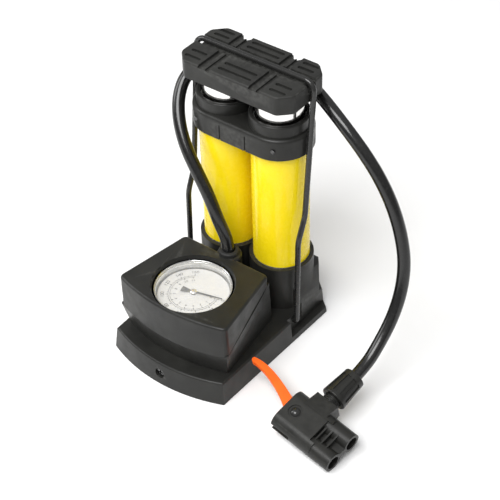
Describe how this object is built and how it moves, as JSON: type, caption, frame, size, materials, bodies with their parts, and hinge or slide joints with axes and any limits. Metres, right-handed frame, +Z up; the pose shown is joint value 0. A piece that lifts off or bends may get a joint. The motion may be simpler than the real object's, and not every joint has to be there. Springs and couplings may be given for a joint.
{
  "type": "foot air pump",
  "caption": "Upright twin-barrel foot pump with treaded pedal, wire bail latch, pressure gauge housing, hose and twin valve head with lever.",
  "frame": {"origin": "on the floor, midway between the two barrel axes, at the underside of the base", "axes": "+X right, across the two barrels; -Y towards the gauge; +Z up along the barrels"},
  "size_m": [0.1954, 0.1404, 0.1963],
  "materials": {
    "moulded_black": "satin moulded, fine texture",
    "pedal_black": "satin moulded, fine texture",
    "yellow_paint": "gloss",
    "polished_steel": "polished",
    "black_wire": "gloss",
    "hose_rubber": "gloss",
    "grommet_rubber": "satin",
    "lever_orange": "gloss",
    "dial_white": "matt print",
    "needle_black": "matt",
    "lens_clear": "clear",
    "bezel_clear": "gloss",
    "zinc_steel": "zinc plated",
    "spring_steel": "drawn",
    "brass": "turned",
    "white_acetal": "moulded"
  },
  "bodies": {
    "base": {"base_shell": "moulded_black", "bottom_cover": "moulded_black", "rubber_feet": "grommet_rubber", "base_screws": "zinc_steel", "front_screw": "zinc_steel", "barrel_collar": "moulded_black", "collar_pins": "zinc_steel", "air_manifold": "moulded_black", "hose_barb": "brass", "gauge_stem": "brass", "gauge_cover": "moulded_black", "housing_screws": "zinc_steel", "gauge_case": "zinc_steel", "gauge_dial": "dial_white", "gauge_bezel": "bezel_clear", "gauge_lens": "lens_clear", "gauge_frame": "brass", "bourdon_tube": "brass", "hose": "hose_rubber", "hose_gland": "grommet_rubber", "head_body": "moulded_black", "lever_pin": "polished_steel", "schrader_grommet": "grommet_rubber", "presta_grommet": "grommet_rubber", "head_barb": "moulded_black", "head_nut": "moulded_black", "left_barrel": "yellow_paint", "left_barrel_gasket": "grommet_rubber", "left_barrel_plug": "white_acetal", "left_check_valve": "grommet_rubber", "left_guide_bush": "white_acetal", "left_return_spring": "spring_steel", "right_barrel": "yellow_paint", "right_barrel_gasket": "grommet_rubber", "right_barrel_plug": "white_acetal", "right_check_valve": "grommet_rubber", "right_guide_bush": "white_acetal", "right_return_spring": "spring_steel"},
    "pedal": {"pedal": "pedal_black", "pedal_bolts": "zinc_steel", "left_piston_tube": "polished_steel", "left_piston": "white_acetal", "left_piston_seal": "grommet_rubber", "right_piston_tube": "polished_steel", "right_piston": "white_acetal", "right_piston_seal": "grommet_rubber"},
    "bail": {"bail": "black_wire"},
    "needle": {"gauge_needle": "needle_black", "gauge_spindle": "brass"},
    "quadrant": {"gauge_sector": "brass"},
    "lever": {"head_lever": "lever_orange"},
    "plunger": {"head_plunger": "white_acetal"}
  },
  "joints": [
    {"name": "pedal_slide", "type": "slide", "parent": "base", "child": "pedal", "axis": [0, 0, 1], "range_m": [0, 0.085], "deforming": ["left_return_spring", "right_return_spring"]},
    {"name": "bail_swing", "type": "hinge", "parent": "base", "child": "bail", "pos_m": [0, -0.017, 0.012], "axis": [-1, 0, 0], "range_deg": [0, 86.5]},
    {"name": "needle_turn", "type": "hinge", "parent": "base", "child": "needle", "pos_m": [0, -0.068, 0.05], "axis": [0, 0, -1], "range_deg": [0, 270]},
    {"name": "quadrant_turn", "type": "hinge", "parent": "base", "child": "quadrant", "pos_m": [0, -0.054, 0.047], "axis": [0, 0, 1], "range_deg": [0, 27]},
    {"name": "lever_turn", "type": "hinge", "parent": "base", "child": "lever", "pos_m": [0.09755, -0.08829, 0.01286], "axis": [0.0717, -0.2742, 0.959], "range_deg": [0, 80]},
    {"name": "plunger_slide", "type": "slide", "parent": "base", "child": "plunger", "axis": [0.9872, -0.118, -0.1076], "range_m": [0, 0.0021]}
  ],
  "couplings": [
    {"joint": "bail_swing", "follows": "pedal_slide", "rad_per_m": 17.761},
    {"joint": "needle_turn", "follows": "quadrant_turn", "ratio": 9.9999},
    {"joint": "plunger_slide", "follows": "lever_turn", "m_per_rad": 0.0015039}
  ]
}
